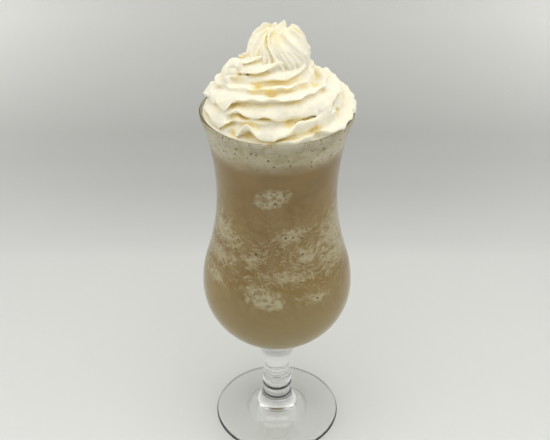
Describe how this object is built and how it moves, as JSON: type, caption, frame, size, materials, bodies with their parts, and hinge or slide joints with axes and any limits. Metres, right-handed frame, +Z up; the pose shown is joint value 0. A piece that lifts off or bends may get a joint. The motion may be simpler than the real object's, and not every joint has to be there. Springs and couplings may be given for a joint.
{
  "type": "frozen latte",
  "caption": "Blended iced latte in a tall footed glass, with a pale froth layer below the rim and a piped swirl of whipped cream on top.",
  "frame": {"origin": "on the glass's axis, at the height of the flat ring under its foot", "axes": "+Z up along the glass's axis, +Y away from the viewer of the picture, +X to the viewer's right"},
  "size_m": [0.0788, 0.0788, 0.2388],
  "materials": {
    "clear_glass": "polished clear glass",
    "blended_latte": "milky brown slush of fine ice, wet",
    "milk_froth": "pale wet foam with pin bubbles",
    "whipped_cream": "soft satin, warm white"
  },
  "bodies": {
    "root": {"glass": "clear_glass", "latte": "blended_latte", "froth": "milk_froth", "whipped_cream": "whipped_cream"}
  },
  "joints": []
}
